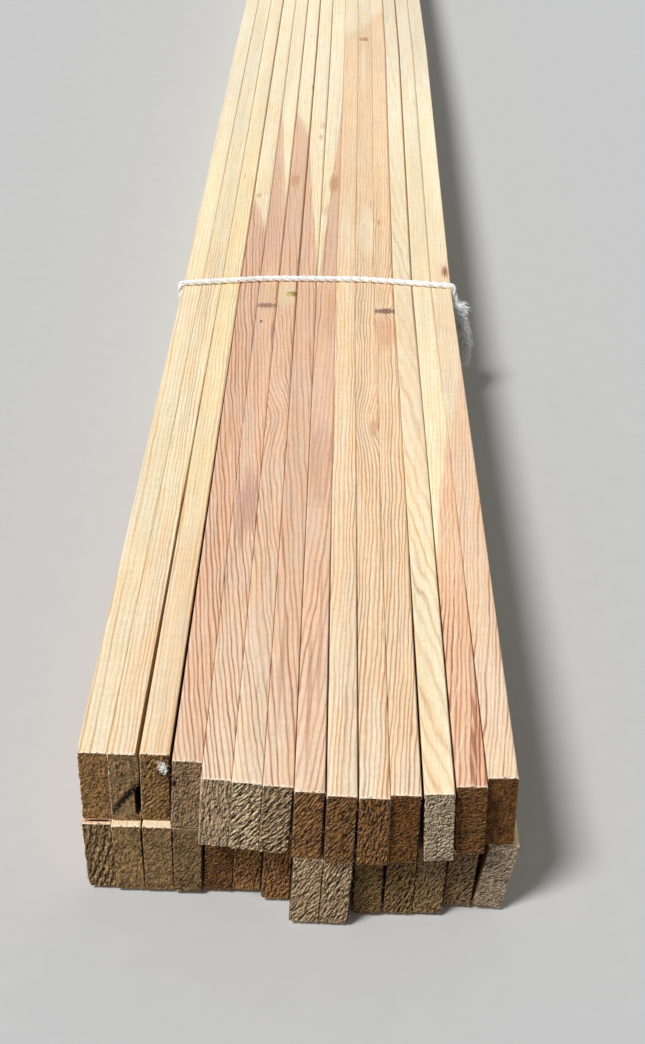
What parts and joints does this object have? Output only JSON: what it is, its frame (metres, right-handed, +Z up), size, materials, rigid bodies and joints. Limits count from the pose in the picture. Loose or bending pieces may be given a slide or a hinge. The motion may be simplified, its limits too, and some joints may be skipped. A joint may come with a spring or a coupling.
{
  "type": "bundle of pine trim strips",
  "caption": "Two layers of planed pine trim strips stood on edge and bound across with twine near both ends.",
  "frame": {"origin": "on the floor under the middle of the bundle with its two ties", "axes": "+Y along the strips towards their far ends, +X across the bundle to the side that the knots are on, +Z up"},
  "size_m": [0.2344, 2.43, 0.0973],
  "materials": {
    "pine": "planed, unfinished",
    "twine": "twisted, matt"
  },
  "bodies": {
    "root": {"strip_upper_01": "pine", "strip_upper_02": "pine", "strip_upper_03": "pine", "strip_upper_04": "pine", "strip_upper_05": "pine", "strip_upper_06": "pine", "strip_upper_07": "pine", "strip_upper_08": "pine", "strip_upper_09": "pine", "strip_upper_10": "pine", "strip_upper_11": "pine", "strip_upper_12": "pine", "strip_upper_13": "pine", "strip_upper_14": "pine", "strip_lower_01": "pine", "strip_lower_02": "pine", "strip_lower_03": "pine", "strip_lower_04": "pine", "strip_lower_05": "pine", "strip_lower_06": "pine", "strip_lower_07": "pine", "strip_lower_08": "pine", "strip_lower_09": "pine", "strip_lower_10": "pine", "strip_lower_11": "pine", "strip_lower_12": "pine", "strip_lower_13": "pine", "strip_lower_14": "pine", "front_twine": "twine", "rear_twine": "twine", "front_twine_tail_long": "twine", "front_twine_tail_short": "twine", "rear_twine_tail_long": "twine", "rear_twine_tail_short": "twine"}
  },
  "joints": []
}
